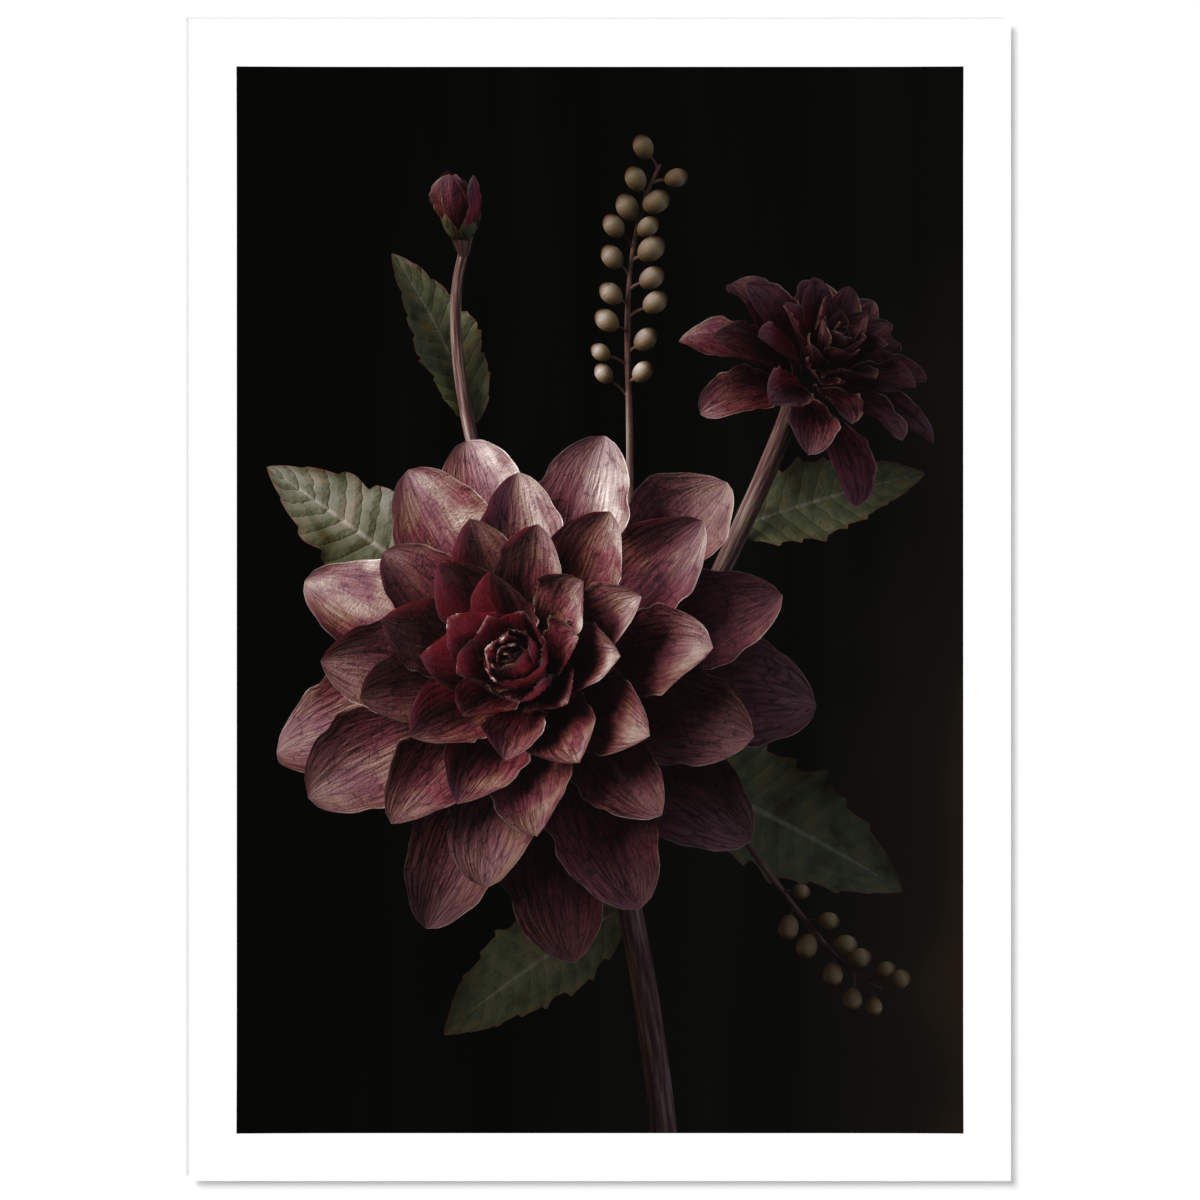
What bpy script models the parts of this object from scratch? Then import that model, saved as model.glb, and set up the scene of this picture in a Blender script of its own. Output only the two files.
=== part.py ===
"""An unframed art print: one trimmed sheet of heavy matte paper that lies face up on a surface.

The middle of the sheet lies flat. All round it the edge lifts a few millimetres in a curve of even
bend, the set that a heavy sheet keeps after it has been rolled and handled.

+X points to the right of the picture, +Y to its top and +Z the way that the printed face looks.
The origin is on the surface that the sheet lies on, under its middle. All sizes are in metres.
"""

import bmesh
import bpy

# The sheet is ISO A3, in 250 g/m2 paper.
SHEET_WIDTH = 0.297
SHEET_HEIGHT = 0.420
PAPER_THICKNESS = 0.0003

# Bare paper left round the printed field, the same on every side
MARGIN = 0.017

# The curl starts this far in from each edge, and lifts the edge by this much.
CURL_WIDTH = 0.070
EDGE_LIFT = 0.0036

# Flat strips that follow the curve of one curled edge
STRIPS_PER_CURL = 7

PAPER_COLOUR = (0.90, 0.90, 0.89, 1.0)
PAPER_ROUGHNESS = 0.90
INK_COLOUR = (0.0030, 0.0028, 0.0024, 1.0)
INK_ROUGHNESS = 0.62

# Material slots on the sheet
PAPER, INK = 0, 1


def clear_scene():
    for obj in list(bpy.data.objects):
        bpy.data.objects.remove(obj)


def curl(distance, half_size):
    """Share of the edge's lift, 0 on the flat middle and 1 at the edge, rising as a parabola."""
    past_flat = max(0.0, distance - (half_size - CURL_WIDTH))
    return (past_flat / CURL_WIDTH) ** 2


def lift(x, y):
    """Height of the sheet's underside above the surface that it lies on, even all round its edge."""
    side = curl(abs(x), SHEET_WIDTH / 2)
    end = curl(abs(y), SHEET_HEIGHT / 2)
    return EDGE_LIFT * (side + end - side * end)


def stations(size):
    """Places of the grid lines across the sheet: close together in the curls, none between them."""
    step = CURL_WIDTH / STRIPS_PER_CURL
    insets = sorted([MARGIN, *(step * i for i in range(STRIPS_PER_CURL + 1))])
    inward = [size / 2 - inset for inset in insets]
    return [-place for place in inward] + inward[::-1]


def in_printed_field(face):
    middle = face.calc_center_median()
    return abs(middle.x) < SHEET_WIDTH / 2 - MARGIN and abs(middle.y) < SHEET_HEIGHT / 2 - MARGIN


def sheet_mesh():
    """The closed sheet. Its underside is split into triangles first, so both faces are split alike."""
    columns, rows = stations(SHEET_WIDTH), stations(SHEET_HEIGHT)
    bm = bmesh.new()
    grid = [[bm.verts.new((x, y, lift(x, y))) for x in columns] for y in rows]
    for low, high in zip(grid, grid[1:]):
        for i in range(len(columns) - 1):
            bm.faces.new((low[i], low[i + 1], high[i + 1], high[i]))
    bmesh.ops.triangulate(bm, faces=bm.faces[:])
    raised = bmesh.ops.extrude_face_region(bm, geom=bm.faces[:], use_keep_orig=True)["geom"]
    points = [item for item in raised if isinstance(item, bmesh.types.BMVert)]
    bmesh.ops.translate(bm, verts=points, vec=(0.0, 0.0, PAPER_THICKNESS))
    for item in raised:
        if isinstance(item, bmesh.types.BMFace) and in_printed_field(item):
            item.material_index = INK
    bmesh.ops.recalc_face_normals(bm, faces=bm.faces[:])
    mesh = bpy.data.meshes.new("paper_sheet")
    bm.to_mesh(mesh)
    bm.free()
    return mesh


def plain_material(name, colour, roughness):
    material = bpy.data.materials.new(name)
    material.use_nodes = True
    shader = material.node_tree.nodes["Principled BSDF"]
    shader.inputs["Base Color"].default_value = colour
    shader.inputs["Roughness"].default_value = roughness
    shader.inputs["Metallic"].default_value = 0.0
    return material


def make_sheet():
    mesh = sheet_mesh()
    mesh.materials.append(plain_material("matte paper", PAPER_COLOUR, PAPER_ROUGHNESS))
    mesh.materials.append(plain_material("black pigment ink", INK_COLOUR, INK_ROUGHNESS))
    sheet = bpy.data.objects.new("paper_sheet", mesh)
    bpy.context.scene.collection.objects.link(sheet)
    return sheet


clear_scene()
make_sheet()
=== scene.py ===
"""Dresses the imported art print: its paper, its printed picture, and a plain studio round it.

The picture is a made-up study of garden flowers on black. Its petals, leaves, stems and berries are first
arranged as thin curved forms that stand over the sheet, with a soft lamp to their upper left. Seen from
straight above, they are then laid flat. Each visible stretch of a form becomes a region of the printed
face, and each corner in it keeps the light and the place on the form that it came from, for the inks.

Lengths in the picture are in millimetres from its middle: +X to the right, +Y up and +Z to the viewer.
The sheet itself is in metres.
"""

import math
import random
from dataclasses import dataclass
from types import SimpleNamespace

import bpy
import numpy as np
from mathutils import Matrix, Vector
from mathutils.bvhtree import BVHTree
from mathutils.geometry import delaunay_2d_cdt


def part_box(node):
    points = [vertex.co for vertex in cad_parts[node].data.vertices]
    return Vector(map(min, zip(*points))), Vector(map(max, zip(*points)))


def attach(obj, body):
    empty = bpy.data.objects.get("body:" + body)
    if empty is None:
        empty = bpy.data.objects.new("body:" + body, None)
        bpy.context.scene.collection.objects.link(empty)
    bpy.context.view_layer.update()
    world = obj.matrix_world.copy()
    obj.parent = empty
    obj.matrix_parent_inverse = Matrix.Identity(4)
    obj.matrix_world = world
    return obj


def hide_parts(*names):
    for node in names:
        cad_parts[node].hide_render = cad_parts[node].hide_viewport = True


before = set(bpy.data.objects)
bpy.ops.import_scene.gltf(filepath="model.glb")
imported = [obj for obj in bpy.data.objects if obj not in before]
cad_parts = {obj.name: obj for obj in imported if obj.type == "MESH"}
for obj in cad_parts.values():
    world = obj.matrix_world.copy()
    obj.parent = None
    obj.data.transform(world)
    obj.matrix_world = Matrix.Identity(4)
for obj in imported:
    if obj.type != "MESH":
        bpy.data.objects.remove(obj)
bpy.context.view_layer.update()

# The sheet, in metres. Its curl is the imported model's.
MM = 0.001
SHEET_LOW, SHEET_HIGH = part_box("paper_sheet")
SHEET_WIDTH = SHEET_HIGH.x - SHEET_LOW.x
SHEET_HEIGHT = SHEET_HIGH.y - SHEET_LOW.y
PAPER_THICKNESS = 0.0003
CURL_WIDTH = 0.070
EDGE_LIFT = 0.0036

# The printed field, in millimetres: an even bare margin is left round it.
MARGIN = 17.0
PAGE_HALF = np.array([SHEET_WIDTH, SHEET_HEIGHT]) / 2 / MM
FIELD_HALF = PAGE_HALF - MARGIN

# How finely the printed face is divided, in millimetres
FORM_STEP = 0.95
BARE_STEP = 4.0
OUTLINE_STEP = 0.8

# The picture's lamp, the weak light that comes back from its right and the faint light from the viewer's
# side: where each comes from, how wide it is, the beams that test it and how far it wraps round a form
LAMP = (-0.74, 0.44, 0.51)
LAMP_SPREAD = 0.36
LAMP_BEAMS = 14
LAMP_WRAP = 0.15
LAMP_CONTRAST = 2.5
RIM = (0.80, 0.30, 0.30)
RIM_SPREAD = 0.30
RIM_BEAMS = 5
RIM_WRAP = 0.1
SKY = (0.0, 0.0, 1.0)
SKY_SPREAD = 1.2
SKY_BEAMS = 9
SKY_LIGHT = 0.012
SHEEN_SHARPNESS = 12

# A beam starts this far off its own form and looks this far for another that blocks it, in millimetres.
CLEARANCE = 0.5
BEAM_REACH = 260.0
SKY_REACH = 45.0

# The turns that a spot's pattern of beams can have, and how often the light is then evened out
BEAM_TURNS = 16
LIGHT_EVENINGS = 2

# The lamp's pool of light fades from here, in millimetres.
POOL_CENTRE = (-46.0, 26.0)
POOL_RADIUS = 98.0

GOLDEN_ANGLE = math.radians(137.508)

# Kept for the inks, in millimetres: the rim distance that counts as 1, and the step between two patterns
RIM_RANGE = 4.0
PATTERN_SHIFT = 60.0

# What stands in a triangle's place in the list of forms where it shows none
GROUND, BARE = -1, -2

# A corner on an outline is read this share of the way in towards its triangle's middle.
CORNER_INSET = 0.06

# The plan that the sheet is baked by, in shares of its height. The face fills its left and is squeezed a
# little, to stay clear of the back and of the cut edge, whose lower left corners and sizes these are.
FACE_SQUEEZE = 0.998
BACK_CORNER = (0.715, 0.30)
BACK_SCALE = 0.40
EDGE_CORNER = (0.715, 0.80)
EDGE_SIZE = (0.28, 0.02)

# The paper's tooth, in metres. Real felt marks are about 0.3 mm apart, which is too fine to show in the
# render, so they are drawn 1.2 mm apart.
TOOTH_SIZE = 0.0012
TOOTH_DEPTH = 0.00004
TOOTH_STRENGTH = 0.6

# How a Mix node is set to mix colours, and where its sockets then are
OF_COLOURS = {"data_type": "RGBA", "clamp_result": True}
MIX_FACTOR, MIX_A, MIX_B, MIX_OUT = 0, 6, 7, 2

# A Map Range node's inputs: 0 is the value, 1 and 2 are its range, 3 and 4 are the range that it gets.

# The studio, in metres and watts. The softbox at the upper left throws the soft shadow along the sheet's
# right and bottom edges, and the fill light at the lower right the faint lines along the other two.
SOFTBOX = {"place": (-4.58, 4.94, 7.40), "size": 5.67, "power": 960.0}
FILL_LIGHT = {"place": (3.20, -2.48, 7.40), "size": 1.64, "power": 299.0}
STUDIO_GREY = 0.098
FLOOR_WHITE = "#F4F4F4"
FLOOR_ROUGHNESS = 0.9
FLOOR_HALF = 40.0

# What the camera sees from side to side at the sheet, in metres
VIEW_WIDTH = 0.4352


def unit(vector):
    vector = np.asarray(vector, float)
    return vector / np.linalg.norm(vector)


def unit_rows(vectors):
    return vectors / np.maximum(np.linalg.norm(vectors, axis=-1, keepdims=True), 1e-9)


def bend_line(points, count):
    """A smooth line of this many points: a Bezier curve on the given ones."""
    t = np.linspace(0, 1, count)[:, None]
    last = len(points) - 1
    weights = [math.comb(last, i) * (1 - t) ** (last - i) * t**i for i in range(last + 1)]
    return sum(weight * np.asarray(point, float) for weight, point in zip(weights, points))


# The picture's forms


@dataclass
class Form:
    """One petal, leaf, stem or berry: a net of points, rows along it and columns across."""

    kind: str
    net: np.ndarray
    width: float
    length: float
    tone: float

    def normals(self):
        across = np.gradient(self.net, axis=1)
        along = np.gradient(self.net, axis=0)
        normals = unit_rows(np.cross(across, along))
        normals[0] = normals[1]
        normals[-1] = normals[-2]
        return normals

    def places(self):
        """Per point: how far along it is, 0 to 1, and across, -1 to 1, and its distance to the rim."""
        rows, columns = self.net.shape[:2]
        across, along = np.meshgrid(np.linspace(-1, 1, columns), np.linspace(0, 1, rows))
        half = np.linalg.norm(self.net[:, -1] - self.net[:, 0], axis=1) / 2
        return np.stack([along, across, (1 - abs(across)) * half[:, None]], -1)

    def lamp_sides(self):
        """Per point, how far the lamp lies towards the form's right and towards its tip, -1 to 1."""
        return np.stack([unit_rows(np.gradient(self.net, axis=axis)) @ unit(LAMP) for axis in (1, 0)], -1)

    def facets(self):
        rows, columns = self.net.shape[:2]
        index = np.arange(rows * columns).reshape(rows, columns)
        a, b, c, d = index[:-1, :-1], index[:-1, 1:], index[1:, 1:], index[1:, :-1]
        return np.stack([a, b, c, a, c, d], -1).reshape(-1, 3)

    def outline(self):
        """Its rim as one closed line."""
        net = self.net
        return np.concatenate([net[:, 0], net[-1, 1:], net[-2::-1, -1], net[0, -2:0:-1]])

    def folds(self):
        """Short lines where the form turns over, as seen from above."""
        turns = np.sign(self.normals()[..., 2])
        changes = zip(*np.nonzero(turns[:, 1:] * turns[:, :-1] < 0))
        return [self.net[i : i + 2, j] for i, j in changes if i + 1 < len(self.net)]


@dataclass
class Cut:
    """How a petal or leaf is cut and shaped.

    cup, pleat, wave and rag are shares of its half width, and widest is a share of its length. A lower
    fullness is fuller, waves is their number from root to tip, and twist is in radians.
    """

    fullness: float = 0.60
    widest: float = 0.60
    cup: float = 0.40
    pleat: float = 0.035
    wave: float = 0.07
    waves: float = 1.5
    twist: float = 0.0
    rag: float = 0.05
    teeth: int = 0


def blade(kind, root, out, up, size, rise, bend, cut, tone, net=(40, 12)):
    """A petal or leaf of (width, length). It leaves its root at the angle rise and bends down by bend.

    It bends more towards its tip, where its pleats fade out. Its rim swings up and down, is ragged by two
    finer waves, and can have teeth.
    """
    out, up = unit(out), unit(up)
    width, length = size
    along = np.linspace(0, 1, net[0] + 1)
    across = np.linspace(-1, 1, net[1] + 1)[None, :, None]
    angle = rise - bend * along**1.4
    step = np.outer(np.cos(angle), out) + np.outer(np.sin(angle), up)
    face = np.outer(-np.sin(angle), out) + np.outer(np.cos(angle), up)
    middle = root + np.cumsum(np.vstack([np.zeros(3), (step[1:] + step[:-1]) / 2]), 0) * length / net[0]
    belly = np.sin(math.pi * along ** (math.log(0.5) / math.log(cut.widest)))
    half = width / 2 * np.maximum(belly, 0) ** cut.fullness
    turn = (cut.twist * along)[:, None]
    side = np.cos(turn) * np.cross(out, up) + np.sin(turn) * face
    face = np.cos(turn) * face - np.sin(turn) * np.cross(out, up)
    height = cut.cup * across**2 + cut.pleat * np.cos(3.5 * math.pi * across) * (1 - along[:, None, None])
    swing = np.sin(2 * math.pi * cut.waves * along + 6 * tone)[:, None, None]
    height = height + cut.wave * np.sign(across) * abs(across) ** 3 * swing
    rag = np.sin(9 * math.pi * along + 50 * tone) + 0.6 * np.sin(17 * math.pi * along + 90 * tone)
    reach = 1 + cut.rag * (rag * np.sin(math.pi * along))[:, None, None] * abs(across) ** 3
    if cut.teeth:
        notch = 1 - (along * cut.teeth) % 1.0
        reach = reach - 0.15 * (notch * np.sin(math.pi * along) ** 0.5)[:, None, None] * across**4
    half = half[:, None, None]
    points = middle[:, None] + reach * half * (across * side[:, None] + height * face[:, None])
    return Form(kind, points, width, length, tone)


def stem(points, start, end, tone, count=60):
    """The near half of a round stalk along a smooth line, from radius start to radius end."""
    path = bend_line(points, count)
    way = unit_rows(np.gradient(path, axis=0))
    side = unit_rows(np.cross(way, (0, 0, 1.0)))
    front = np.cross(side, way)
    turn = (np.linspace(-1, 1, 9) * math.pi / 2)[None, :, None]
    radius = np.linspace(start, end, count)[:, None, None]
    net = path[:, None] + radius * (np.sin(turn) * side[:, None] + np.cos(turn) * front[:, None])
    length = np.linalg.norm(np.diff(path, axis=0), axis=1).sum()
    return Form("stem", net, 2 * max(start, end), length, tone)


def berry(centre, radius, way, tone):
    """The near half of a small egg that points along way."""
    side, long = np.meshgrid(np.linspace(-1, 1, 9), np.linspace(-1, 1, 9))
    x = side * np.sqrt(1 - long**2 / 2)
    y = long * np.sqrt(1 - side**2 / 2)
    z = np.sqrt(np.maximum(0, 1 - x**2 - y**2))
    way = unit([way[0], way[1], 0])
    across = np.array([way[1], -way[0], 0])
    net = centre + radius * (x[..., None] * across + 1.3 * y[..., None] * way)
    net[..., 2] += radius * z
    return Form("berry", net, 2 * radius, 2.6 * radius, tone)


def square_to(axis):
    """Two directions at right angles to this one and to each other."""
    east = unit(np.cross((0, 1.0, 0), axis))
    return east, np.cross(axis, east)


def bloom(centre, axis, size, count, rng, droop=34.0, closed=0.0, dome=0.27, broad=0.46):
    """A double flower: petals round its axis at the golden angle, open outside and upright within.

    droop is how far the outer petals bend, in degrees, and closed is 1 for a bud. dome is the share of the
    size that the heart stands out by, and broad the outer petals' width as a share of their length.
    """
    axis = unit(axis)
    east, north = square_to(axis)
    petals = []
    for k in range(count):
        inner = k / (count - 1)
        angle = k * GOLDEN_ANGLE + rng.uniform(-0.07, 0.07)
        out = math.cos(angle) * east + math.sin(angle) * north
        length = size * (0.46 * (1 - inner) ** 0.8 + 0.10) * rng.uniform(0.94, 1.06)
        width = length * (broad + 0.08 * inner) * rng.uniform(0.94, 1.06)
        rise = 2 + 50 * closed + (84 - 30 * closed) * inner**0.9 + rng.uniform(-3, 3)
        bend = droop * (1 - inner) - 34 * inner - 60 * closed + rng.uniform(-7, 7)
        ring = 0.10 * (1 - inner) * (1 - 0.5 * closed) + 0.008
        root = np.asarray(centre) + size * (out * ring + axis * dome * inner)
        cut = Cut(fullness=rng.uniform(0.50, 0.72), widest=rng.uniform(0.54, 0.68), cup=0.36 + 0.34 * inner,
                  wave=rng.uniform(0.07, 0.21), waves=rng.uniform(1.0, 2.6), twist=rng.uniform(-0.25, 0.25))
        petals.append(blade("petal", root, out, axis, (width, length), math.radians(rise),
                            math.radians(bend), cut, rng.random()))
    return petals


def calyx(base, top, radius, count, tone):
    """The flared end of a stalk, and the small leaves that hold a bud in it."""
    base, top = np.asarray(base, float), np.asarray(top, float)
    axis = unit(top - base)
    east, north = square_to(axis)
    size = (1.7 * radius, 3.0 * radius)
    cut = Cut(fullness=0.8, widest=0.38, cup=0.45, wave=0.06)
    parts = [stem([base, (base + top) / 2, top], 0.42 * radius, 0.95 * radius, tone, 16)]
    for k in range(count):
        angle = math.tau * (k + tone) / count
        out = math.cos(angle) * east + math.sin(angle) * north
        root = top - axis + 0.85 * radius * out
        parts.append(blade("leaf", root, out, axis, size, math.radians(52), math.radians(-50), cut,
                           (tone + 0.37 * k) % 1, (30, 8)))
    return parts


def leaf(root, out, up, size, rise, bend, tone, teeth=9):
    """A leaf with a toothed edge, folded a little along its midrib."""
    cut = Cut(fullness=0.85, widest=0.42, cup=0.25, wave=0.10, waves=2.2, teeth=teeth, pleat=0.0)
    return blade("leaf", root, out, up, size, math.radians(rise), math.radians(bend), cut, tone, (96, 12))


def spray(points, count, berry_size, rng):
    """A thin stalk with berries to its left and right on short stalks of their own."""
    parts = [stem(points, 1.5, 0.6, rng.random())]
    path = bend_line(points, 100)
    for k in range(count):
        share = 0.30 + 0.70 * (k + 0.5) / count
        i = int(share * 99)
        at = path[i]
        way = unit(path[min(i + 1, 99)] - path[i - 1])
        side = unit(np.cross(way, (0, 0, 1.0))) * (1 if k % 2 else -1)
        lean = unit(0.75 * way + rng.uniform(0.5, 1.0) * side + (0, 0, rng.uniform(0.1, 0.7)))
        reach = rng.uniform(6, 13) * (1.1 - 0.4 * share)
        tip = at + lean * reach
        parts.append(stem([at, at + way * 0.4 * reach, tip], 0.5, 0.5, rng.random(), 10))
        radius = berry_size * rng.uniform(0.75, 1.1)
        parts.append(berry(tip + 0.8 * radius * lean, radius, lean, rng.random()))
    return parts


def arrangement():
    """Everything in the picture, from the stalks at the back to the large bloom in front."""
    rng = random.Random(22)
    parts = [
        # The stalks of the large bloom, the second bloom and the bud
        stem([(-8, -40, -14), (8, -90, -30), (20, -150, -22), (24, -206, -16)], 4.0, 5.0, 0.4),
        stem([(70, 71, -24), (60, 42, -36), (34, -10, -40), (10, -60, -40)], 3.8, 3.2, 0.7),
        stem([(-49.4, 126, -19.5), (-60, 90, -30), (-40, 30, -40), (-20, -30, -40)], 1.8, 3.0, 0.2),
        # The leaves at the left, the lower right, the main stalk, the second stalk and the bud's stalk
        leaf((-38, -14, -30), (-0.80, 0.62, 0.05), (0.2, 0.1, 1), (46, 104), 6, 24, 0.35),
        leaf((20, -58, -34), (0.86, -0.42, 0.05), (0.1, 0.2, 1), (46, 104), 4, 30, 0.60),
        leaf((11, -110, -30), (-0.84, -0.54, 0.05), (-0.1, 0.3, 1), (38, 84), 6, 34, 0.45),
        leaf((48, 26, -40), (0.92, 0.30, 0.0), (-0.3, 0.2, 1), (32, 72), 4, 30, 0.80),
        leaf((-45, 64, -38), (-0.40, 0.90, 0.10), (0.5, 0.1, 0.9), (28, 70), 10, 36, 0.15),
    ]
    parts += spray([(10, 20, -44), (14, 80, -30), (2, 120, -18), (22, 158, -14)], 17, 3.9, rng)
    parts += spray([(40, -70, -30), (70, -110, -10), (84, -134, 0), (104, -142, 4)], 11, 3.6, rng)
    parts += bloom((-20, -32, 0), (-0.22, 0.20, 1), 156, 64, rng)
    parts += bloom((74, 76, -14), (0.42, 0.62, 0.62), 82, 44, rng, droop=62, closed=0.10)
    parts += bloom((-50, 132, -16), (-0.15, 0.95, 0.30), 46, 22, rng, droop=-8, closed=1.0, broad=0.6)
    parts += calyx((-49.3, 125, -19.5), (-50, 132, -17), 4.4, 5, 0.35)
    return parts


# The forms together, as seen from above


class StillLife:
    """All forms in one tree of facets, so that rays can tell what is seen and what is in shadow."""

    def __init__(self, forms):
        self.forms = forms
        counts = [form.net.shape[0] * form.net.shape[1] for form in forms]
        starts = np.concatenate([[0], np.cumsum(counts)])
        self.points = np.concatenate([form.net.reshape(-1, 3) for form in forms])
        self.normals = np.concatenate([form.normals().reshape(-1, 3) for form in forms])
        self.places = np.concatenate([form.places().reshape(-1, 3) for form in forms])
        self.lamp_sides = np.concatenate([form.lamp_sides().reshape(-1, 2) for form in forms])
        facets = [form.facets() for form in forms]
        self.facets = np.concatenate([f + start for f, start in zip(facets, starts)])
        self.owner = np.concatenate([np.full(len(f), i) for i, f in enumerate(facets)])
        self.tree = BVHTree.FromPolygons(self.points.tolist(), self.facets.tolist())
        self.top = self.points[:, 2].max() + 10

    def seen_at(self, x, y):
        """(form, facet, height) of what is seen here, or (GROUND, -1, 0) where there is no form."""
        spot, _, facet, _ = self.tree.ray_cast(Vector((x, y, self.top)), Vector((0, 0, -1)))
        return (GROUND, -1, 0.0) if spot is None else (int(self.owner[facet]), facet, spot.z)

    def read(self, values, facets, spots):
        """What values, one row per point of the nets, come to at these spots on these facets."""
        a, b, c = (self.points[self.facets[facets, i]] for i in range(3))
        ab, ac, at = b - a, c - a, spots - a
        bb, bc, cc = (ab * ab).sum(1), (ab * ac).sum(1), (ac * ac).sum(1)
        pb, pc = (at * ab).sum(1), (at * ac).sum(1)
        scale = np.maximum(bb * cc - bc * bc, 1e-12)
        share_b = np.clip((cc * pb - bc * pc) / scale, 0, 1)[:, None]
        share_c = np.clip((bb * pc - bc * pb) / scale, 0, 1)[:, None]
        rows = [values[self.facets[facets, i]] for i in range(3)]
        return rows[0] * (1 - share_b - share_c) + rows[1] * share_b + rows[2] * share_c

    def visible_lines(self):
        """The stretches of every rim and fold that nothing covers, as lists of (x, y)."""
        up = Vector((0, 0, 1))
        lines = []
        for form in self.forms:
            rim = form.outline()
            for line in [np.vstack([rim, rim[:1]]), *form.folds()]:
                spots = resampled(line)
                starts = [Vector(spot) + CLEARANCE * up for spot in spots]
                free = np.array([self.tree.ray_cast(start, up)[2] is None for start in starts])
                free &= (abs(spots[:, :2]) < FIELD_HALF + OUTLINE_STEP).all(1)
                near = free.copy()
                near[1:] |= free[:-1]
                near[:-1] |= free[1:]
                ends = np.flatnonzero(np.diff(np.concatenate([[0], near, [0]])))
                lines += [spots[a:b, :2] for a, b in zip(ends[::2], ends[1::2]) if b - a > 1]
        return lines


def resampled(line):
    """The line with points at even distances of about OUTLINE_STEP."""
    lengths = np.concatenate([[0], np.cumsum(np.linalg.norm(np.diff(line, axis=0), axis=1))])
    places = np.linspace(0, lengths[-1], max(2, round(lengths[-1] / OUTLINE_STEP) + 1))
    return np.stack([np.interp(places, lengths, line[:, i]) for i in range(3)], 1)


# The light in the picture


def beams(way, spread, count, turn):
    """Directions spread evenly over a round lamp, the whole pattern turned by an angle."""
    way = unit(way)
    right = unit(np.cross(way, (0.3, 0.2, 1.0)))
    over = np.cross(right, way)
    found = []
    for i in range(count):
        angle = turn + i * GOLDEN_ANGLE
        radius = spread * math.sqrt((i + 0.5) / count)
        found.append(Vector(unit(way + radius * (math.cos(angle) * right + math.sin(angle) * over))))
    return found


def clear_share(tree, spots, normals, way, spread, count, reach, rng):
    """Per spot, the share of beams this way that meet nothing within reach.

    The beams start a little off the surface, and each spot's pattern of beams has a turn of its own.
    """
    patterns = [beams(way, spread, count, turn * math.tau / BEAM_TURNS) for turn in range(BEAM_TURNS)]
    shares = np.empty(len(spots))
    for i, (spot, normal) in enumerate(zip(spots, normals)):
        pattern = patterns[rng.randrange(BEAM_TURNS)]
        off = CLEARANCE if normal @ way > 0 else -CLEARANCE
        origin = Vector(spot + off * normal)
        shares[i] = sum(tree.ray_cast(origin, beam, reach)[2] is None for beam in pattern) / count
    return shares


def wrapped(facing, wrap):
    """Light on a surface that faces it by this much, -1 to 1, and that it wraps round a little."""
    return np.clip((facing + wrap) / (1 + wrap), 0, 1)


def light_on(life, spots, normals, neighbours):
    """Per spot: lamp and sky light together, light that glows through, sheen, and rim light."""
    rng = random.Random(5)
    toward_viewer = np.where(normals[:, 2:] < 0, -normals, normals)
    lamp, rim, sky = unit(LAMP), unit(RIM), unit(SKY)
    facing = toward_viewer @ lamp
    lamp_free = clear_share(life.tree, spots, toward_viewer, lamp, LAMP_SPREAD, LAMP_BEAMS, BEAM_REACH, rng)
    rim_free = clear_share(life.tree, spots, toward_viewer, rim, RIM_SPREAD, RIM_BEAMS, BEAM_REACH, rng)
    sky_free = clear_share(life.tree, spots, toward_viewer, sky, SKY_SPREAD, SKY_BEAMS, SKY_REACH, rng)
    pool = np.exp(-((spots[:, :2] - POOL_CENTRE) ** 2).sum(1) / POOL_RADIUS**2)
    lit = wrapped(facing, LAMP_WRAP) ** LAMP_CONTRAST * lamp_free * pool
    through = np.clip(-facing, 0, 1) * lamp_free * pool
    sheen = np.clip(toward_viewer @ unit(lamp + sky), 0, 1) ** SHEEN_SHARPNESS * lamp_free * pool
    back = wrapped(toward_viewer @ rim, RIM_WRAP) * rim_free
    light = np.stack([lit + SKY_LIGHT * sky_free * (0.3 + pool), through, sheen, back * sky_free], 1)
    for _ in range(LIGHT_EVENINGS):
        light = evened(light, neighbours)
    return light


def evened(values, neighbours):
    """Each row moved half way to the average of its neighbours, which takes out the beams' noise."""
    total = values.copy()
    count = np.ones(len(values))
    for a, b in (neighbours.T, neighbours.T[::-1]):
        np.add.at(total, a, values[b])
        np.add.at(count, a, 1)
    return 0.5 * values + 0.5 * total / count[:, None]


# The sheet's printed face, flat


def lattice(half, step):
    """Points of an even triangle lattice inside a rectangle of this half width and half height."""
    row_step = step * math.sqrt(3) / 2
    rows = np.arange(-int(half[1] / row_step), int(half[1] / row_step) + 1)
    columns = np.arange(-int(half[0] / step) - 1, int(half[0] / step) + 2)
    x, y = np.meshgrid(columns * step, rows * row_step)
    x = x + (rows % 2)[:, None] * step / 2
    points = np.stack([x.ravel(), y.ravel()], 1)
    return points[(abs(points) < half - 0.3 * step).all(1)]


def rectangle(half, step):
    """Points round a rectangle at even distances of about step."""
    corners = [(-1, -1), (1, -1), (1, 1), (-1, 1), (-1, -1)]
    sides = []
    for a, b in zip(corners, corners[1:]):
        a, b = np.array(a) * half, np.array(b) * half
        count = round(np.linalg.norm(b - a) / step)
        sides.append(a + (b - a) * (np.arange(count) / count)[:, None])
    return np.concatenate(sides)


def divide(life):
    """The flat page in triangles that follow its edge, the printed field and each visible outline."""
    loops = [rectangle(PAGE_HALF, BARE_STEP), rectangle(FIELD_HALF, BARE_STEP)]
    lines = [np.vstack([loop, loop[:1]]) for loop in loops] + life.visible_lines()
    edges = []
    start = 0
    for line in lines:
        edges += [(start + i, start + i + 1) for i in range(len(line) - 1)]
        start += len(line)
    fine = lattice(FIELD_HALF, FORM_STEP)
    fine = fine[[life.seen_at(x, y)[0] >= 0 for x, y in fine]]
    points = np.concatenate([*lines, lattice(PAGE_HALF, BARE_STEP), fine])
    made = delaunay_2d_cdt([Vector(p) for p in points], edges, [], 0, 1e-4)
    return np.array([tuple(p) for p in made[0]]), np.array(made[2])


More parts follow.
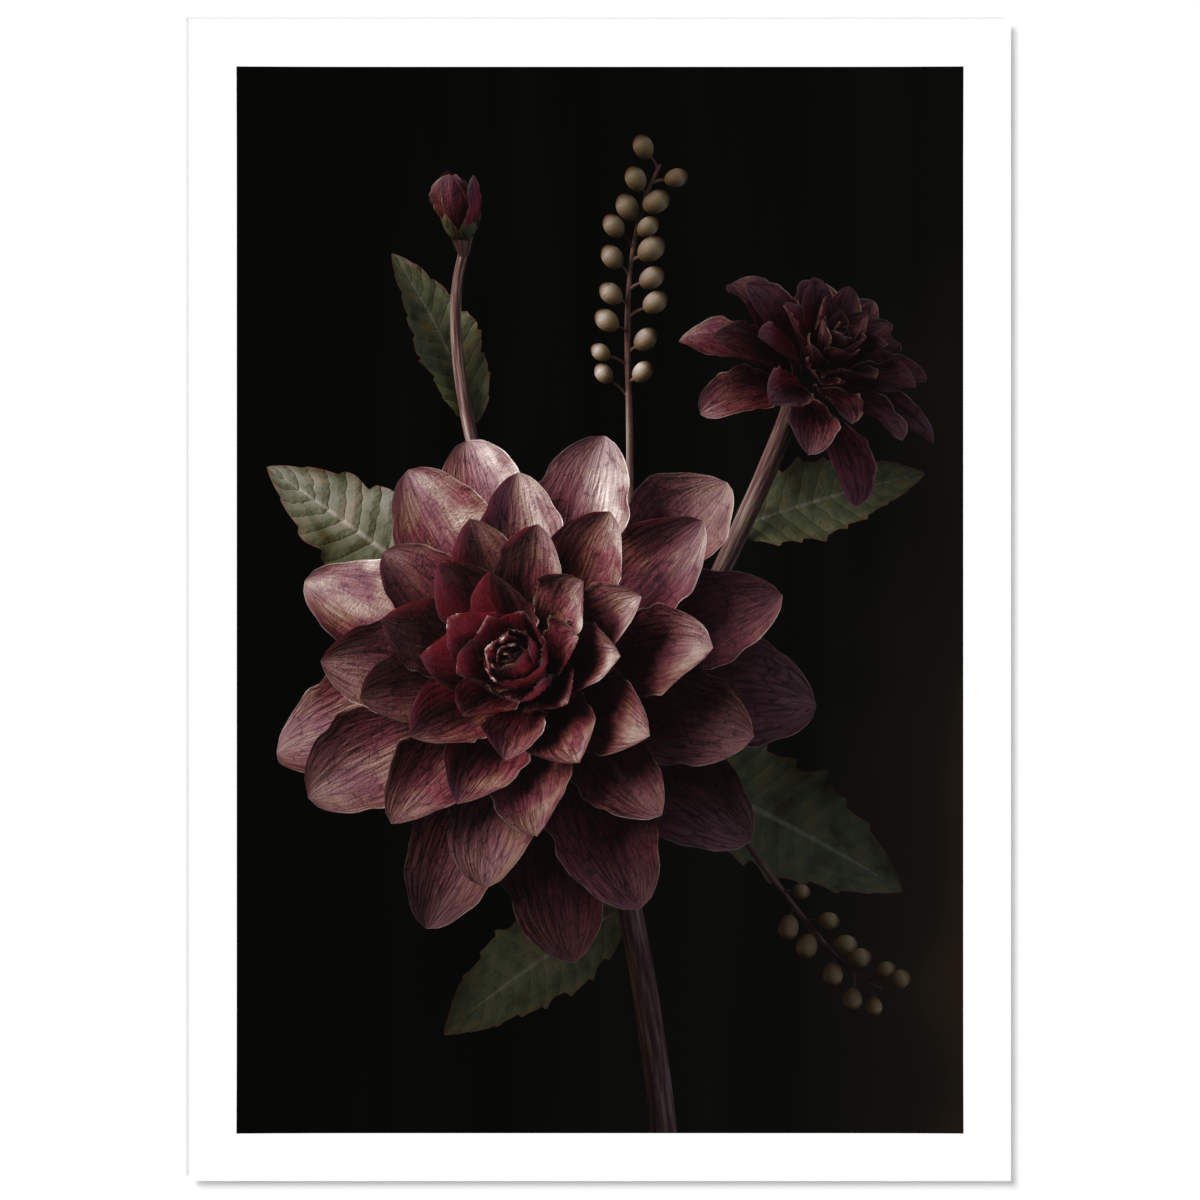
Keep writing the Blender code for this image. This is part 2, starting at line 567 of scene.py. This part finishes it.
def forms_seen(life, points, faces):
    """Per triangle: the form at its middle, or GROUND or BARE, and that form's facet and height there."""
    middles = points[faces].mean(1)
    seen = np.full(len(faces), BARE)
    facets = np.zeros(len(faces), int)
    heights = np.zeros(len(faces))
    for i in np.flatnonzero((abs(middles) < FIELD_HALF).all(1)):
        seen[i], facets[i], heights[i] = life.seen_at(*middles[i])
    return seen, facets, heights


def corner_spots(life, points, faces, seen, facets, heights):
    """Per corner, the number of its spot on a form, or -1, and the list of spots as (facet, x, y, z).

    A corner is read a little inside its triangle, so that one on an outline reads the right form. Corners
    that share a point and a form share a spot.
    """
    numbers = np.full(faces.shape, -1)
    spots = []
    known = {}
    for i in np.flatnonzero(seen >= 0):
        middle = points[faces[i]].mean(0)
        for j, point in enumerate(faces[i]):
            key = (point, seen[i])
            if key not in known:
                x, y = points[point] + CORNER_INSET * (middle - points[point])
                form, facet, z = life.seen_at(x, y)
                if form != seen[i]:
                    x, y, facet, z = *middle, facets[i], heights[i]
                known[key] = len(spots)
                spots.append((facet, x, y, z))
            numbers[i, j] = known[key]
    return numbers, spots


def picture_values(life, points, faces):
    """Per triangle its form, and per corner what the inks read: its light and its place on the form."""
    seen, facets, heights = forms_seen(life, points, faces)
    numbers, spots = corner_spots(life, points, faces, seen, facets, heights)
    spots = np.array(spots)
    facet, at = spots[:, 0].astype(int), spots[:, 1:]
    normals = unit_rows(life.read(life.normals, facet, at))
    along, across, rim = life.read(life.places, facet, at).T
    whole = numbers[seen >= 0]
    neighbours = np.concatenate([whole[:, [0, 1]], whole[:, [1, 2]], whole[:, [2, 0]]])
    form = life.owner[facet]
    size = np.array([(f.width, f.length, f.tone) for f in life.forms])[form]
    tables = {
        "picture_light": light_on(life, at, normals, np.unique(np.sort(neighbours, 1), axis=0)),
        "picture_place": np.stack([along, abs(across), rim / RIM_RANGE, size[:, 2]], 1),
        "picture_relief": np.pad(life.read(life.lamp_sides, facet, at), ((0, 0), (0, 2))),
        "form_pattern": np.stack([across * size[:, 0] / 2 + PATTERN_SHIFT * form, along * size[:, 1]], 1),
    }
    # A corner with no spot has the number -1, and reads the row of zeros that ends each table.
    return seen, {name: np.pad(table, ((0, 1), (0, 0)))[numbers] for name, table in tables.items()}


# The sheet


def index_of(points, wanted):
    """Where each wanted point is in a list of points."""
    return [int(np.argmin(((points - w) ** 2).sum(1))) for w in wanted]


def flat_sheet(inks):
    """The sheet before it curls: the divided face, a plain back, and the cut edge between them."""
    life = StillLife(arrangement())
    points, faces = divide(life)
    seen, tables = picture_values(life, points, faces)
    loop = rectangle(PAGE_HALF, BARE_STEP)
    back_lattice = lattice(PAGE_HALF, 4 * BARE_STEP)
    edges = [(i, (i + 1) % len(loop)) for i in range(len(loop))]
    made = delaunay_2d_cdt([Vector(p) for p in np.concatenate([loop, back_lattice])], edges, [], 0, 1e-4)
    back = np.array([tuple(p) for p in made[0]])
    back_faces = np.array(made[2])[:, ::-1] + len(points)
    top = index_of(points, loop)
    bottom = [i + len(points) for i in index_of(back, loop)]
    walls = [(bottom[i], bottom[j], top[j], top[i]) for i, j in edges]

    heights = np.concatenate([np.full(len(points), PAPER_THICKNESS), np.zeros(len(back))])
    places = np.column_stack([np.concatenate([points, back]) * MM, heights])
    mesh = bpy.data.meshes.new("printed_sheet")
    mesh.from_pydata(places.tolist(), [], faces.tolist() + back_faces.tolist() + walls)
    smooth = np.ones(len(mesh.polygons), bool)
    smooth[-len(walls) :] = False
    mesh.polygons.foreach_set("use_smooth", smooth)
    share_out(mesh, inks, seen, [form.kind for form in life.forms])
    keep_for_inks(mesh, tables)
    add_bake_map(mesh, len(faces), len(walls))
    return mesh


def share_out(mesh, inks, seen, kinds):
    """Gives each face the ink of the form that it shows, and marks the faces of bare paper."""
    for ink in inks.values():
        mesh.materials.append(ink)
    # BARE and GROUND find theirs by counting back from the end.
    slots = list(inks)
    slot_of_form = np.array([slots.index(kind) for kind in kinds] + [0, slots.index("ground")])
    of_faces = np.zeros(len(mesh.polygons), int)
    of_faces[: len(seen)] = slot_of_form[seen]
    mesh.polygons.foreach_set("material_index", of_faces)
    bare = np.ones(len(mesh.polygons), bool)
    bare[: len(seen)] = seen == BARE
    mesh.attributes.new("bare", "BOOLEAN", "FACE").data.foreach_set("value", bare)


def keep_for_inks(mesh, tables):
    """Keeps what the inks read with each corner. The printed face's corners are the first ones."""
    for name, values in tables.items():
        values = values.reshape(-1, values.shape[-1])
        values = np.pad(values, ((0, len(mesh.loops) - len(values)), (0, 0))).ravel()
        if name == "form_pattern":
            mesh.uv_layers.new(name=name).uv.foreach_set("vector", values)
        else:
            mesh.attributes.new(name, "FLOAT_COLOR", "CORNER").data.foreach_set("color", values)


def add_bake_map(mesh, front_count, wall_count):
    """Adds the plan that the sheet is baked by, as a UV map."""
    corner = np.empty(len(mesh.loops), int)
    mesh.loops.foreach_get("vertex_index", corner)
    places = np.empty(len(mesh.vertices) * 3)
    mesh.vertices.foreach_get("co", places)
    at = places.reshape(-1, 3)[corner, :2] / SHEET_HEIGHT + (SHEET_WIDTH / SHEET_HEIGHT / 2, 0.5)
    back = slice(3 * front_count, len(corner) - 4 * wall_count)
    at[:, 0] *= FACE_SQUEEZE
    at[back] = at[back] * BACK_SCALE + BACK_CORNER
    walls = np.arange(4 * wall_count)
    along = (walls // 4 + np.isin(walls % 4, (1, 2))) / wall_count
    at[-4 * wall_count :] = np.stack([along, walls % 4 > 1], 1) * EDGE_SIZE + EDGE_CORNER
    mesh.uv_layers.new(name="OFBake").uv.foreach_set("vector", at.ravel())


def add(tree, kind, inputs=(), stops=(), **settings):
    """Adds a node. Each input is a value, a socket or a node, whose first output then feeds it."""
    node = tree.nodes.new(kind)
    for name, value in settings.items():
        setattr(node, name, value)
    for key, value in dict(inputs).items():
        if isinstance(value, bpy.types.Node):
            value = value.outputs[0]
        if isinstance(value, bpy.types.NodeSocket):
            tree.links.new(value, node.inputs[key])
        else:
            node.inputs[key].default_value = value
    # A ramp comes with two stops, and the others are added.
    for i, (position, colour) in enumerate(stops):
        ramp = node.color_ramp.elements
        stop = ramp[i] if i < 2 else ramp.new(position)
        stop.position = position
        stop.color = colour
    return node


def curl_tree():
    """Lifts a flat sheet's edge all round by an even height, and gives the bare faces their paper."""
    tree = bpy.data.node_groups.new("curled sheet", "GeometryNodeTree")
    face = tree.interface
    face.new_socket("Sheet", in_out="INPUT", socket_type="NodeSocketGeometry")
    sizes = {"Half width": SHEET_WIDTH / 2, "Half height": SHEET_HEIGHT / 2,
             "Curl width": CURL_WIDTH, "Edge lift": EDGE_LIFT}
    for name, value in sizes.items():
        socket = face.new_socket(name, in_out="INPUT", socket_type="NodeSocketFloat")
        socket.default_value = value
        socket.subtype = "DISTANCE"
    face.new_socket("Paper", in_out="INPUT", socket_type="NodeSocketMaterial")
    face.new_socket("Sheet", in_out="OUTPUT", socket_type="NodeSocketGeometry")
    given = add(tree, "NodeGroupInput").outputs
    place = add(tree, "GeometryNodeInputPosition")
    place = add(tree, "ShaderNodeSeparateXYZ", {0: place}).outputs
    flat_shares = []
    for axis, half in (("X", "Half width"), ("Y", "Half height")):
        flat = add(tree, "ShaderNodeMath", {0: given[half], 1: given["Curl width"]}, operation="SUBTRACT")
        out = add(tree, "ShaderNodeMath", {0: place[axis]}, operation="ABSOLUTE")
        past = add(tree, "ShaderNodeMath", {0: out, 1: flat}, operation="SUBTRACT")
        past = add(tree, "ShaderNodeMath", {0: past, 1: 0.0}, operation="MAXIMUM")
        share = add(tree, "ShaderNodeMath", {0: past, 1: given["Curl width"]}, operation="DIVIDE")
        curl = add(tree, "ShaderNodeMath", {0: share, 1: 2.0}, operation="POWER")
        left = add(tree, "ShaderNodeMath", {0: 1.0, 1: curl}, operation="SUBTRACT")
        flat_shares.append(left)
    both = add(tree, "ShaderNodeMath", dict(enumerate(flat_shares)), operation="MULTIPLY")
    raised = add(tree, "ShaderNodeMath", {0: 1.0, 1: both}, operation="SUBTRACT")
    height = add(tree, "ShaderNodeMath", {0: raised, 1: given["Edge lift"]}, operation="MULTIPLY")
    up = add(tree, "ShaderNodeCombineXYZ", {"Z": height})
    moved = add(tree, "GeometryNodeSetPosition", {"Geometry": given["Sheet"], "Offset": up})
    real = add(tree, "GeometryNodeRealizeInstances", {0: moved})
    bare = add(tree, "GeometryNodeInputNamedAttribute", {"Name": "bare"}, data_type="BOOLEAN")
    paper = {"Geometry": real, "Selection": bare, "Material": given["Paper"]}
    add(tree, "NodeGroupOutput", {0: add(tree, "GeometryNodeSetMaterial", paper)})
    return tree


def curled(mesh, paper):
    """The flat sheet's mesh put through the curl, as a plain object with no modifier."""
    sheet = bpy.data.objects.new("printed_sheet", mesh)
    bpy.context.scene.collection.objects.link(sheet)
    tree = curl_tree()
    modifier = sheet.modifiers.new("curl", "NODES")
    modifier.node_group = tree
    for item in tree.interface.items_tree:
        if item.name == "Paper":
            modifier[item.identifier] = paper
    graph = bpy.context.evaluated_depsgraph_get()
    made = bpy.data.meshes.new_from_object(sheet.evaluated_get(graph), depsgraph=graph)
    sheet.modifiers.clear()
    made.set_sharp_from_angle(angle=math.radians(45))
    sheet.data = made
    return sheet


# Inks and paper

# The sheet is matte cotton paper: clean white and dull, with the fine tooth of the felt it dried on.
PAPER_WHITE = "#F6F6F5"
PAPER_ROUGHNESS = 0.9
PAPER_GLOSS = 0.25
PAPER_IOR = 1.45

# The picture is pigment ink from an inkjet printer. It soaks in, so it shows the paper's tooth and has
# hardly any gloss even where it is black, and its blacks stay deep from every side.
INK_BLACK = "#030302"
INK_ROUGHNESS = 0.62
INK_GLOSS = 0.02

# The picture's light as it prints, in shares of white: a strong warm lamp and a weak cool rim light
LAMP_TINT = (4.18, 3.61, 3.06)
RIM_TINT = (0.14, 0.158, 0.21)

# The brightest spots are the lamp's own light on the skin of a petal or leaf, so they turn pale: how much
# of their colour goes at each brightness, and what is left, per unit of brightness
PALING = ((0.04, 0.0), (0.60, 0.95), (0.11, 0.34), (0.24, 0.70))
PALE_TINT = (1.18, 1.02, 0.99)

# How far apart the two heights are that give a wrinkle its lit and its dark side, in millimetres
RELIEF_STEP = 0.35

# A petal's long folds: millimetres from one to the next and along one, detail and distortion
LONG_FOLDS = (1.7, 13, 3.0, 0.4)


def linear(colour):
    """An sRGB hex colour as linear red, green, blue and alpha."""
    shares = [int(colour[i : i + 2], 16) / 255 for i in (1, 3, 5)]
    return (*(s / 12.92 if s <= 0.04045 else ((s + 0.055) / 1.055) ** 2.4 for s in shares), 1.0)


def grey(value):
    return (value, value, value, 1.0)


def new_material(name):
    material = bpy.data.materials.new(name)
    material.use_nodes = True
    return material, material.node_tree


def matte_finish(material, colour, roughness, gloss):
    """Ends a material in the paper's finish: a dull surface with the tooth of the felt it dried on."""
    tree = material.node_tree
    shader = tree.nodes["Principled BSDF"]
    if isinstance(colour, bpy.types.NodeSocket):
        tree.links.new(colour, shader.inputs["Base Color"])
    else:
        shader.inputs["Base Color"].default_value = colour
    shader.inputs["Roughness"].default_value = roughness
    shader.inputs["IOR"].default_value = PAPER_IOR
    shader.inputs["Specular IOR Level"].default_value = gloss
    place = add(tree, "ShaderNodeTexCoord").outputs["Object"]
    tooth = add(tree, "ShaderNodeTexNoise", {"Vector": place, "Scale": 1 / TOOTH_SIZE, "Detail": 3.0})
    bump = add(tree, "ShaderNodeBump",
               {"Height": tooth, "Distance": TOOTH_DEPTH, "Strength": TOOTH_STRENGTH})
    tree.links.new(bump.outputs[0], shader.inputs["Normal"])
    return material


def place_on_form(tree):
    """Sockets for a spot on its form: along, across, rim distance, tone, and pattern millimetres."""
    place = add(tree, "ShaderNodeAttribute", attribute_name="picture_place")
    parts = add(tree, "ShaderNodeSeparateColor", {0: place.outputs["Color"]}).outputs
    pattern = add(tree, "ShaderNodeUVMap", uv_map="form_pattern")
    tone = place.outputs["Alpha"]
    return SimpleNamespace(along=parts[0], across=parts[1], rim=parts[2], tone=tone, pattern=pattern)


def relief(tree, height, on, gain):
    """How bright the lamp makes a wrinkle's sides: 1 on the flat, and more on a side that faces it."""
    sides = add(tree, "ShaderNodeAttribute", attribute_name="picture_relief").outputs["Color"]
    sides = add(tree, "ShaderNodeSeparateColor", {0: sides}).outputs
    here = height(tree, on, on.pattern)
    total = 1.0
    for side, step in zip(sides, ((RELIEF_STEP, 0, 0), (0, RELIEF_STEP, 0))):
        beside = add(tree, "ShaderNodeVectorMath", {0: on.pattern, 1: step})
        fall = add(tree, "ShaderNodeMath", {0: here, 1: height(tree, on, beside)}, operation="SUBTRACT")
        fall = add(tree, "ShaderNodeMath", {0: fall, 1: gain}, operation="MULTIPLY")
        total = add(tree, "ShaderNodeMath", {0: fall, 1: side, 2: total}, operation="MULTIPLY_ADD")
    return add(tree, "ShaderNodeClamp", {0: total, 1: 0.2, 2: 2.4})


def picture_light(tree, shade):
    """Sockets for the light at a spot: lamp, glow and sheen, each shaded by the relief, and rim."""
    light = add(tree, "ShaderNodeAttribute", attribute_name="picture_light")
    parts = add(tree, "ShaderNodeSeparateColor", {0: light.outputs["Color"]}).outputs
    lamp, glow, sheen = (add(tree, "ShaderNodeMath", {0: part, 1: shade}, operation="MULTIPLY")
                         for part in parts)
    return SimpleNamespace(lamp=lamp, glow=glow, sheen=sheen, rim=light.outputs["Alpha"])


def printed(material, pigment, light, glow, sheen):
    """Gives a form's own colour the picture's light, and prints it on the paper."""
    tree = material.node_tree
    lamp, rim = (add(tree, "ShaderNodeVectorMath", {0: tint, "Scale": amount}, operation="SCALE")
                 for tint, amount in ((LAMP_TINT, light.lamp), (RIM_TINT, light.rim)))
    falls = add(tree, "ShaderNodeVectorMath", {0: lamp, 1: rim})
    total = add(tree, "ShaderNodeVectorMath", {0: pigment, 1: falls, 2: linear(INK_BLACK)[:3]},
                operation="MULTIPLY_ADD")
    for colour, amount in ((glow, light.glow), (sheen, light.sheen)):
        lit = add(tree, "ShaderNodeVectorMath", {0: linear(colour)[:3], "Scale": amount}, operation="SCALE")
        total = add(tree, "ShaderNodeVectorMath", {0: lit, 1: total})
    value = add(tree, "ShaderNodeRGBToBW", {0: total})
    share = add(tree, "ShaderNodeValToRGB", {0: value}, stops=[(at, grey(gone)) for at, gone in PALING])
    pale = add(tree, "ShaderNodeVectorMath", {0: PALE_TINT, "Scale": value}, operation="SCALE")
    total = add(tree, "ShaderNodeMix", {MIX_FACTOR: share, MIX_A: total, MIX_B: pale},
                **OF_COLOURS).outputs[MIX_OUT]
    return matte_finish(material, total, INK_ROUGHNESS, INK_GLOSS)


def drawn_out(tree, at, pitch, run, detail, distortion=0.0):
    """Noise in streaks, this far from one streak to the next, and this long."""
    at = add(tree, "ShaderNodeMapping", {"Vector": at, "Scale": (1 / pitch, 1 / run, 1)})
    return add(tree, "ShaderNodeTexNoise",
               {"Vector": at, "Scale": 1.0, "Detail": detail, "Distortion": distortion})


def petal_folds(tree, on, at):
    """Height of a petal's folds: long ones 1.7 mm apart from base to tip, and short crumpled ones."""
    long = drawn_out(tree, at, *LONG_FOLDS)
    short = drawn_out(tree, at, 2.6, 1.7, 2.0, 1.2)
    return add(tree, "ShaderNodeMath", {0: short, 1: 0.32, 2: long}, operation="MULTIPLY_ADD")


def petal_ink():
    # Wine red that pales to dusty mauve at the tips, with a net of dark veins 3 mm apart. Lit patches turn
    # gold, and the thin rims catch the lamp in places.
    material, tree = new_material("pigment ink, wine red petals")
    on = place_on_form(tree)
    light = picture_light(tree, relief(tree, petal_folds, on, 7.5))
    cloud = add(tree, "ShaderNodeTexNoise", {"Vector": on.pattern, "Scale": 1 / 14, "Detail": 3.0})
    paling = on.along
    for part, weight in ((cloud, 0.35), (on.tone, 0.22)):
        paling = add(tree, "ShaderNodeMath", {0: part, 1: weight, 2: paling}, operation="MULTIPLY_ADD")
    paling = add(tree, "ShaderNodeMath", {0: paling, 1: 0.7}, operation="MULTIPLY")
    colour = add(tree, "ShaderNodeValToRGB", {0: paling},
                 stops=[(0.16, linear("#3A0E1A")), (0.88, linear("#8E6068")), (0.39, linear("#662030")),
                        (0.68, linear("#7A3E4A"))])
    folds = add(tree, "ShaderNodeValToRGB", {0: drawn_out(tree, on.pattern, *LONG_FOLDS)},
                stops=[(0.36, grey(0.50)), (0.60, grey(1.10))])
    bend = add(tree, "ShaderNodeTexNoise", {"Vector": on.pattern, "Scale": 1 / 4, "Detail": 2.0})
    bend = add(tree, "ShaderNodeVectorMath", {0: bend.outputs["Color"], "Scale": 0.5}, operation="SCALE")
    at = add(tree, "ShaderNodeMapping", {"Vector": on.pattern, "Scale": (1 / 3.2, 1 / 11, 1)})
    at = add(tree, "ShaderNodeVectorMath", {0: at, 1: bend})
    net = add(tree, "ShaderNodeTexVoronoi", {"Vector": at, "Scale": 1.0}, feature="DISTANCE_TO_EDGE")
    veins = add(tree, "ShaderNodeMapRange", {0: net, 1: 0.0, 2: 0.07, 3: 0.35, 4: 1.0})
    for shade in (folds, veins):
        colour = add(tree, "ShaderNodeMix", {MIX_FACTOR: 1.0, MIX_A: colour, MIX_B: shade},
                     **OF_COLOURS, blend_type="MULTIPLY").outputs[MIX_OUT]
    gilt = add(tree, "ShaderNodeMapRange", {0: cloud, 1: 0.46, 2: 0.68, 3: 0.0, 4: 1.6})
    gilt = add(tree, "ShaderNodeMath", {0: gilt, 1: light.lamp}, operation="MULTIPLY", use_clamp=True)
    worn = add(tree, "ShaderNodeTexNoise", {"Vector": on.pattern, "Scale": 1 / 6, "Detail": 3.0})
    worn = add(tree, "ShaderNodeMapRange", {0: worn, 1: 0.38, 2: 0.62, 3: 0.1, 4: 1.0})
    rim = add(tree, "ShaderNodeMapRange", {0: on.rim, 1: 0.0, 2: 0.14, 3: 1.0, 4: 0.0})
    rim = add(tree, "ShaderNodeMath", {0: rim, 1: worn}, operation="MULTIPLY")
    for share, over in ((gilt, "#AA8048"), (rim, "#D2B2A2")):
        colour = add(tree, "ShaderNodeMix", {MIX_FACTOR: share, MIX_A: colour, MIX_B: linear(over)},
                     **OF_COLOURS).outputs[MIX_OUT]
    return printed(material, colour, light, "#7A1C28", "#5E4C5C")


def leaf_blade(tree, on, at):
    """Height of a leaf: it domes up between side veins that slant from the midrib, 6.5 mm apart."""
    along = add(tree, "ShaderNodeSeparateXYZ", {0: at}).outputs[1]
    cloud = add(tree, "ShaderNodeTexNoise", {"Vector": at, "Scale": 1 / 5, "Detail": 5.0})
    phase = add(tree, "ShaderNodeMath", {0: on.across, 1: -1.5}, operation="MULTIPLY")
    for part, weight in ((along, 1 / 6.5), (cloud, 0.5)):
        phase = add(tree, "ShaderNodeMath", {0: part, 1: weight, 2: phase}, operation="MULTIPLY_ADD")
    dome = add(tree, "ShaderNodeMath", {0: phase, 1: 0.5}, operation="PINGPONG")
    dome = add(tree, "ShaderNodeMath", {0: dome, 1: 0.5}, operation="POWER")
    return add(tree, "ShaderNodeMath", {0: cloud, 1: 0.9, 2: dome}, operation="MULTIPLY_ADD")


def leaf_ink():
    # Grey green with olive patches, pale veins and a brown red edge
    material, tree = new_material("pigment ink, grey green leaves")
    on = place_on_form(tree)
    light = picture_light(tree, relief(tree, leaf_blade, on, 5.5))
    cloud = add(tree, "ShaderNodeTexNoise", {"Vector": on.pattern, "Scale": 1 / 11, "Detail": 4.0})
    colour = add(tree, "ShaderNodeValToRGB", {0: cloud},
                 stops=[(0.30, linear("#443E24")), (0.70, linear("#786A44")), (0.50, linear("#5A6246"))])
    blade = leaf_blade(tree, on, on.pattern)
    veins = add(tree, "ShaderNodeMapRange", {0: blade, 1: 0.25, 2: 0.45, 3: 0.5, 4: 0.0})
    midrib = add(tree, "ShaderNodeMapRange", {0: on.across, 1: 0.0, 2: 0.06, 3: 0.6, 4: 0.0})
    rim = add(tree, "ShaderNodeMapRange", {0: on.rim, 1: 0.0, 2: 0.4, 3: 0.6, 4: 0.0})
    for share, over in ((veins, "#8C9478"), (midrib, "#A29E8A"), (rim, "#7A4A3E")):
        colour = add(tree, "ShaderNodeMix", {MIX_FACTOR: share, MIX_A: colour, MIX_B: linear(over)},
                     **OF_COLOURS).outputs[MIX_OUT]
    return printed(material, colour, light, "#4A4E1C", "#5C685E")


def stalk_ridges(tree, on, at):
    """Height of the ridges that run along a stalk, 1.2 mm apart."""
    return drawn_out(tree, at, 1.2, 22, 2.0)


def stem_ink():
    # Brown red that pales to straw on the ridges
    material, tree = new_material("pigment ink, brown red stalks")
    on = place_on_form(tree)
    light = picture_light(tree, relief(tree, stalk_ridges, on, 4.0))
    colour = add(tree, "ShaderNodeValToRGB", {0: stalk_ridges(tree, on, on.pattern)},
                 stops=[(0.35, linear("#4E3034")), (0.65, linear("#8E7864")), (0.50, linear("#6A4A4A"))])
    return printed(material, colour, light, "#6E302A", "#7A6868")


def berry_skin(tree, on, at):
    """Height of the dimples in a berry's skin, 1.3 mm apart."""
    return add(tree, "ShaderNodeTexNoise", {"Vector": at, "Scale": 1 / 1.3, "Detail": 2.0})


def berry_ink():
    # Cream that darkens to brown at the stalk and at the far tip
    material, tree = new_material("pigment ink, cream berries")
    on = place_on_form(tree)
    light = picture_light(tree, relief(tree, berry_skin, on, 1.2))
    colour = add(tree, "ShaderNodeValToRGB", {0: on.along},
                 stops=[(0.05, linear("#7A6040")), (0.97, linear("#4E3222")), (0.70, linear("#B49C70"))])
    return printed(material, colour, light, "#6E5430", "#6A6458")


def ground_ink():
    # Near black cloth that hangs in faint soft folds, 30 mm apart. It is browner and lighter at the right.
    material, tree = new_material("pigment ink, black ground")
    place = add(tree, "ShaderNodeTexCoord").outputs["Object"]
    slope = add(tree, "ShaderNodeVectorMath", {0: place, 1: (4.0, -0.6, 0.0)}, operation="DOT_PRODUCT")
    slope = slope.outputs["Value"]
    cloud = add(tree, "ShaderNodeTexNoise", {"Vector": place, "Scale": 1 / 0.11, "Detail": 2.0})
    brown = add(tree, "ShaderNodeMath", {0: cloud, 1: 0.4, 2: slope}, operation="MULTIPLY_ADD")
    colour = add(tree, "ShaderNodeValToRGB", {0: brown},
                 stops=[(0.56, linear(INK_BLACK)), (0.86, linear("#1C140B")), (0.76, linear("#0D0A07"))])
    folds = drawn_out(tree, place, 0.030, 0.30, 2.0)
    folds = add(tree, "ShaderNodeMath", {0: slope, 1: 0.5, 2: folds}, operation="MULTIPLY_ADD")
    drape = add(tree, "ShaderNodeValToRGB", {0: folds},
                stops=[(0.34, grey(0.0)), (0.80, linear("#050504"))])
    colour = add(tree, "ShaderNodeMix", {MIX_FACTOR: 1.0, MIX_A: colour, MIX_B: drape},
                 **OF_COLOURS, blend_type="ADD").outputs[MIX_OUT]
    return matte_finish(material, colour, INK_ROUGHNESS, INK_GLOSS)


def bare_paper():
    material, _ = new_material("matte cotton paper")
    return matte_finish(material, linear(PAPER_WHITE), PAPER_ROUGHNESS, PAPER_GLOSS)


# The studio


def make_floor():
    mesh = bpy.data.meshes.new("floor")
    corners = [(-1, -1), (1, -1), (1, 1), (-1, 1)]
    mesh.from_pydata([(x * FLOOR_HALF, y * FLOOR_HALF, 0) for x, y in corners], [], [range(4)])
    floor = bpy.data.objects.new("floor", mesh)
    bpy.context.scene.collection.objects.link(floor)
    material, tree = new_material("pale studio floor")
    shader = tree.nodes["Principled BSDF"]
    shader.inputs["Base Color"].default_value = linear(FLOOR_WHITE)
    shader.inputs["Roughness"].default_value = FLOOR_ROUGHNESS
    mesh.materials.append(material)
    return floor


def make_light(name, place, size, power):
    data = bpy.data.lights.new(name, "AREA")
    data.shape = "DISK"
    data.size = size
    data.energy = power
    light = bpy.data.objects.new(name, data)
    light.location = place
    light.rotation_euler = (-Vector(place)).to_track_quat("-Z", "Y").to_euler()
    bpy.context.scene.collection.objects.link(light)


def make_camera():
    data = bpy.data.cameras.new("camera")
    data.lens = 100.0
    data.sensor_width = 36.0
    camera = bpy.data.objects.new("camera", data)
    camera.location = (0, 0, VIEW_WIDTH * data.lens / data.sensor_width)
    bpy.context.scene.collection.objects.link(camera)
    bpy.context.scene.camera = camera


def make_world(colour):
    world = bpy.data.worlds.new("studio")
    world.use_nodes = True
    world.node_tree.nodes["Background"].inputs["Color"].default_value = colour
    bpy.context.scene.world = world


inks = {
    "ground": ground_ink(),
    "petal": petal_ink(),
    "leaf": leaf_ink(),
    "stem": stem_ink(),
    "berry": berry_ink(),
}
sheet = curled(flat_sheet(inks), bare_paper())
floor = make_floor()
make_light("softbox", **SOFTBOX)
make_light("fill light", **FILL_LIGHT)
make_world(grey(STUDIO_GREY))
make_camera()
bpy.context.scene.view_settings.view_transform = "Standard"

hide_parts("paper_sheet")
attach(sheet, "root")
